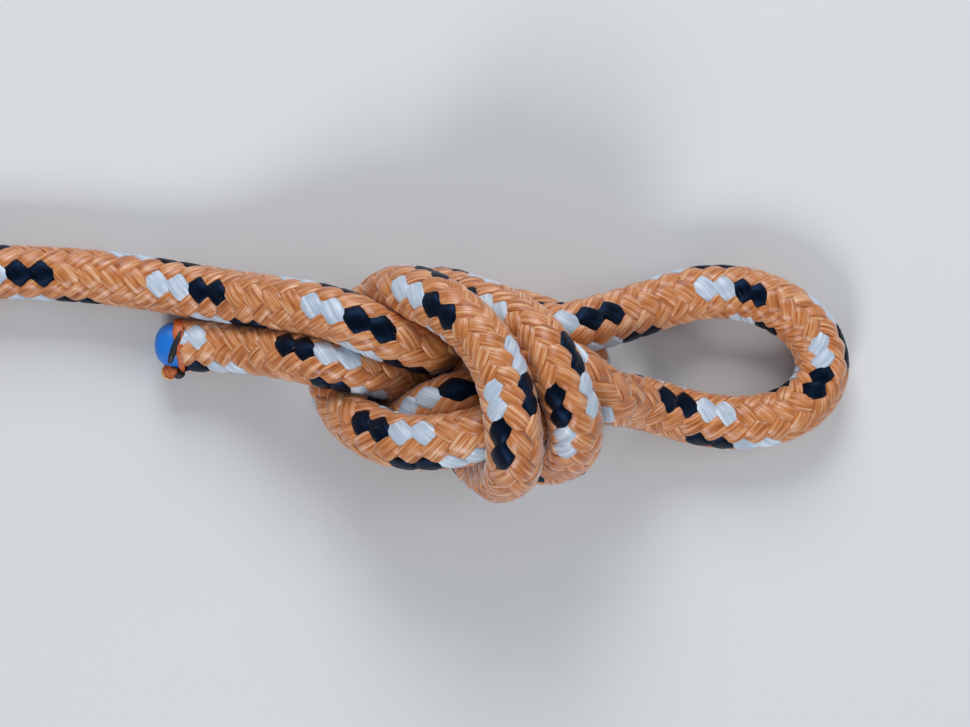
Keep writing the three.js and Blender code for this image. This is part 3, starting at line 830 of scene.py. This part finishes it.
class ROPE_OT_far_end(Operator):
    """Seals the rope's other end, where it lies on the hank."""

    bl_idname = "rope.far_end"
    bl_label = "Other end"

    def execute(self, context):
        look = melted("melted orange sheath at the far end", "#B4461C", 0.26, "#7A2B12")
        q = np.linspace(0, np.pi / 2 - 0.02, 14)
        r = np.r_[3.5, 4.9, 5.05, 4.9 * np.cos(q) ** 0.6] * MM
        h = np.r_[-0.6, -0.55, -0.1, 0.2 + 1.1 * np.sin(q)] * MM
        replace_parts(cap("far_end_seal", end_frame(True), look, r, h, 0.012), "hank_end_seal")
        return {"FINISHED"}


class ROPE_OT_tie(Operator):
    """Wraps the strap that holds the hank."""

    bl_idname = "rope.tie"
    bl_label = "Tie"

    def execute(self, context):
        look = webbing("black polyester webbing", settings().strap)
        low, high = (np.array(c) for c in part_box("hank_tie"))
        middle, half = (low + high) / 2, (high - low) / 2
        rows, columns = 240, 40
        a = (np.arange(rows) * 2 * np.pi / rows)[:, None]
        t = (np.arange(columns) * 2 * np.pi / columns)[None, :]
        # The band's section is a flat bar with rounded edges; its run is a rounded oblong.
        flat = np.sign(np.cos(t)) * np.abs(np.cos(t)) ** 0.35
        deep = 0.00065 * (np.sign(np.sin(t)) * np.abs(np.sin(t)) ** 0.5 - 1)
        y = np.sign(np.cos(a)) * np.abs(np.cos(a)) ** 0.42 * (half[1] + deep)
        z = np.sign(np.sin(a)) * np.abs(np.sin(a)) ** 0.42 * (half[2] + deep)
        points = np.stack([half[0] * flat + 0 * y, y, z], -1) + middle
        run = 110  # length of the weave in the UV; the band is 123 mm round its outside
        uv = np.stack([half[0] * 1000 * flat + 0 * y, run * a / (2 * np.pi) + 0 * flat], -1)
        band = mesh_object("tie_strap", points.reshape(-1, 3), ring_faces(rows, columns), look,
                           uv.reshape(-1, 2))
        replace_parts(band, "hank_tie")
        return {"FINISHED"}


class ROPE_OT_fuzz(Operator):
    """Sets the fine broken filaments that stand off the braid."""

    bl_idname = "rope.fuzz"
    bl_label = "Loose filaments"

    def execute(self, context):
        count = settings().fuzz // 1
        rng = np.random.default_rng(SEED)
        s = rng.uniform(path.s[0], cut_end() - 0.001, 3 * count)[:, None]
        s[:count] = rng.uniform(0, cut_end() - 0.001, count)[:, None]
        count *= 3
        theta = rng.uniform(0, 2 * np.pi, count)[:, None]
        part = np.linspace(0, 1, FILAMENT_POINTS)[None, :]
        long = rng.uniform(0.0006, 0.0026, count)[:, None]
        turn = rng.choice([-1.0, 1.0], count)[:, None]
        lift = rng.uniform(0.0001, 0.0009, count)[:, None]
        curl = rng.normal(0, 0.6, count)[:, None]
        place = np.clip(s + long * part * 0.7, path.s[0], cut_end())
        angle = theta + turn * long * (part * 0.7 + curl * part ** 2) / RADIUS
        r = RADIUS - ROOT_DEPTH + (ROOT_DEPTH + lift) * part * (1.5 - 0.5 * part)
        line = path.surface(place, angle, r)
        line = line + rng.normal(0, 0.00002, line.shape)
        line[..., 2] = np.maximum(line[..., 2], LOWEST)
        t = np.gradient(line, axis=1)
        t /= np.linalg.norm(t, axis=2, keepdims=True) + 1e-9
        n = np.cross(t, np.array([0.2, 0.3, 0.93]))
        n /= np.linalg.norm(n, axis=2, keepdims=True) + 1e-9
        b = np.cross(t, n)
        thin = FILAMENT_RADIUS * (1.15 - part)[..., None]
        corners = [line + (n * math.cos(a) + b * math.sin(a)) * thin
                   for a in (0, 2 * math.pi / 3, 4 * math.pi / 3)]
        points = np.stack(corners, 2)
        one = grid_faces(FILAMENT_POINTS, len(corners), True)
        start = np.arange(count)[:, None, None] * FILAMENT_POINTS * len(corners)
        faces = (one[None] + start).reshape(-1, 4)
        look = plain("loose polyamide filament", "#DDB896", 0.5)
        mesh_object("loose_filaments", points.reshape(-1, 3), faces, look)
        return {"FINISHED"}


class ROPE_OT_stage(Operator):
    """Sets the floor, the camera and the lamps."""

    bl_idname = "rope.stage"
    bl_label = "Stage"

    def execute(self, context):
        scene = context.scene
        mesh = bpy.data.meshes.new("floor")
        mesh.from_pydata([(-FLOOR, -FLOOR, 0), (FLOOR, -FLOOR, 0), (FLOOR, FLOOR, 0),
                          (-FLOOR, FLOOR, 0)], [], [(0, 1, 2, 3)])
        mesh.materials.append(plain("pale matt paper", "#CDD0D3", 1.0, 0.0))
        floor = bpy.data.objects.new("floor", mesh)
        scene.collection.objects.link(floor)
        camera = bpy.data.cameras.new("camera")
        camera.lens_unit = "FOV"
        camera.angle = math.radians(VIEW_ANGLE)
        eye = bpy.data.objects.new("camera", camera)
        eye.location = (PLACE[0], PLACE[1], EYE_HEIGHT)
        scene.collection.objects.link(eye)
        scene.camera = eye
        lamps = [("key", (0.05, 0.85, 0.55), 0.5, 7.5), ("fill", (-0.2, -1.1, 0.8), 0.45, 11.0),
                 ("side", (1.0, 0.1, 0.5), 0.5, 2.0)]
        for name, where, size, power in lamps:
            light = bpy.data.lights.new(name, "AREA")
            light.size = size
            light.energy = power
            lamp = bpy.data.objects.new(name, light)
            lamp.location = where
            aim = np.array(where) - np.array([PLACE[0], PLACE[1], 0])
            lamp.rotation_euler = (math.atan2(math.hypot(aim[0], aim[1]), aim[2]), 0,
                                   math.atan2(aim[1], aim[0]) + math.pi / 2)
            scene.collection.objects.link(lamp)
        world = bpy.data.worlds.new("room")
        world.use_nodes = True
        world.node_tree.nodes["Background"].inputs["Color"].default_value = linear("#E8EDF5")
        world.node_tree.nodes["Background"].inputs["Strength"].default_value = 0.39
        scene.world = world
        scene.view_settings.view_transform = "Standard"
        return {"FINISHED"}


class ROPE_PT_panel(Panel):
    """Lists the rope's sizes, colours and pieces."""

    bl_label = "Climbing rope"
    bl_idname = "ROPE_PT_panel"
    bl_space_type = "VIEW_3D"
    bl_region_type = "UI"
    bl_category = "Rope"

    def draw(self, context):
        for name in RopeSettings.__annotations__:
            self.layout.prop(context.scene.rope_settings, name)
        for operator in OPERATORS:
            self.layout.operator(operator.bl_idname)


OPERATORS = (ROPE_OT_stage, ROPE_OT_sheath, ROPE_OT_core, ROPE_OT_tail_end, ROPE_OT_far_end,
             ROPE_OT_tie, ROPE_OT_fuzz)
CLASSES = (RopeSettings, *OPERATORS, ROPE_PT_panel)


def register():
    for item in CLASSES:
        bpy.utils.register_class(item)
    bpy.types.Scene.rope_settings = PointerProperty(type=RopeSettings)


def unregister():
    del bpy.types.Scene.rope_settings
    for item in reversed(CLASSES):
        bpy.utils.unregister_class(item)


def main():
    global path
    register()
    path = Path()
    bpy.ops.rope.stage()
    bpy.ops.rope.sheath()
    bpy.ops.rope.core()
    bpy.ops.rope.tail_end()
    bpy.ops.rope.far_end()
    bpy.ops.rope.tie()
    bpy.ops.rope.fuzz()


if __name__ == "__main__":
    main()
